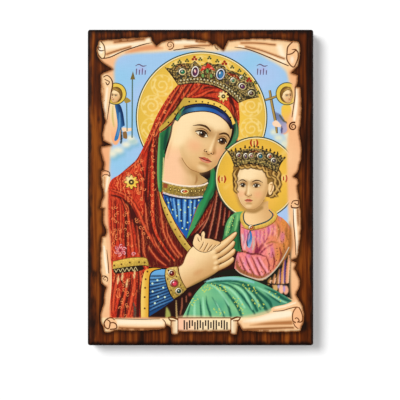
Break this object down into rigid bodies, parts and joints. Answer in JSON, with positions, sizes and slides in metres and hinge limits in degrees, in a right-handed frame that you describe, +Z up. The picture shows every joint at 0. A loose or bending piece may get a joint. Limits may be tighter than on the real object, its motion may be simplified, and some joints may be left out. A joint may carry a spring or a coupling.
{
  "type": "papyrus icon on a wooden board",
  "caption": "Upright rectangular wooden wall plaque carrying a thin torn-edged papyrus sheet printed with a mother and child, with a keyhole slot in its back.",
  "frame": {"origin": "centre of the board's flat back face, where it lies on the wall", "axes": "+Z up along the board's height, +Y out of the back into the wall, +X to the viewer's right; the picture faces -Y"},
  "size_m": [0.2, 0.0206, 0.28],
  "materials": {
    "stained_wood": "dark brown stain over vertical grain, satin varnish, burnt edges",
    "printed_papyrus": "papyrus paper printed in many colours and sealed with a satin varnish"
  },
  "bodies": {
    "root": {"wood_board": "stained_wood", "papyrus_sheet": "printed_papyrus"}
  },
  "joints": []
}
